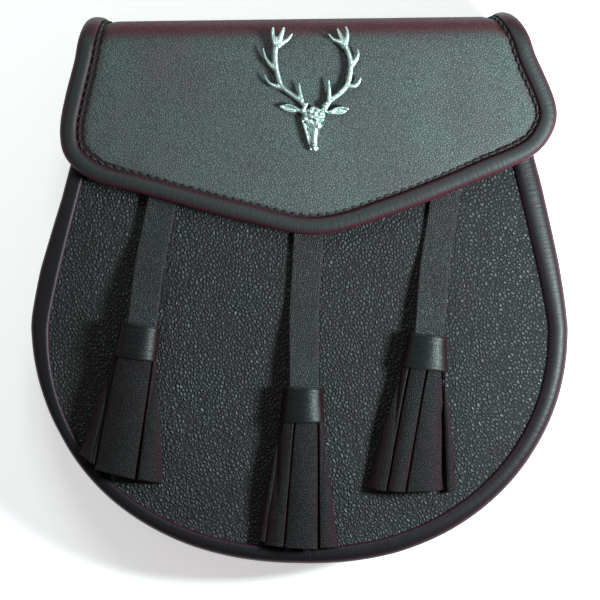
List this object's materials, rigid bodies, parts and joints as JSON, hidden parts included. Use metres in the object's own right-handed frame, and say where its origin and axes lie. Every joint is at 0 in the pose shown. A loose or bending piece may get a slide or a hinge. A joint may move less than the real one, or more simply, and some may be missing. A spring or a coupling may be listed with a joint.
{
  "type": "sporran pouch",
  "caption": "Leather belt pouch with a rounded body, a pointed bound flap folded over its mouth, strap tassels and a cast stag-head badge.",
  "frame": {"origin": "middle of the whole in plan, on the surface that the pouch lies on with its back down", "axes": "+X to the right of its front, +Y up to the fold of its flap, +Z out of its front"},
  "size_m": [0.1864, 0.1918, 0.0432],
  "materials": {
    "pebbled_leather": "coarse pebbled grain, low gloss",
    "fine_grain_leather": "fine even grain, low gloss",
    "smooth_leather": "smooth, semi-matte",
    "binding_leather": "smooth, semi-gloss, rolled",
    "strap_leather": "smooth, matte, cut edges",
    "cast_metal": "bright cast silver colour with dark recesses",
    "stud_metal": "plain nickel"
  },
  "bodies": {
    "root": {"back_panel": "pebbled_leather", "front_panel": "pebbled_leather", "gusset": "smooth_leather", "back_binding": "binding_leather", "front_binding": "binding_leather", "belt_loop": "smooth_leather", "flap": "fine_grain_leather", "flap_binding": "binding_leather", "press_stud": "stud_metal", "stag_badge": "cast_metal", "strap_left": "strap_leather", "cuff_left": "binding_leather", "tassel_left": "strap_leather", "strap_centre": "strap_leather", "cuff_centre": "binding_leather", "tassel_centre": "strap_leather", "strap_right": "strap_leather", "cuff_right": "binding_leather", "tassel_right": "strap_leather"}
  },
  "joints": []
}
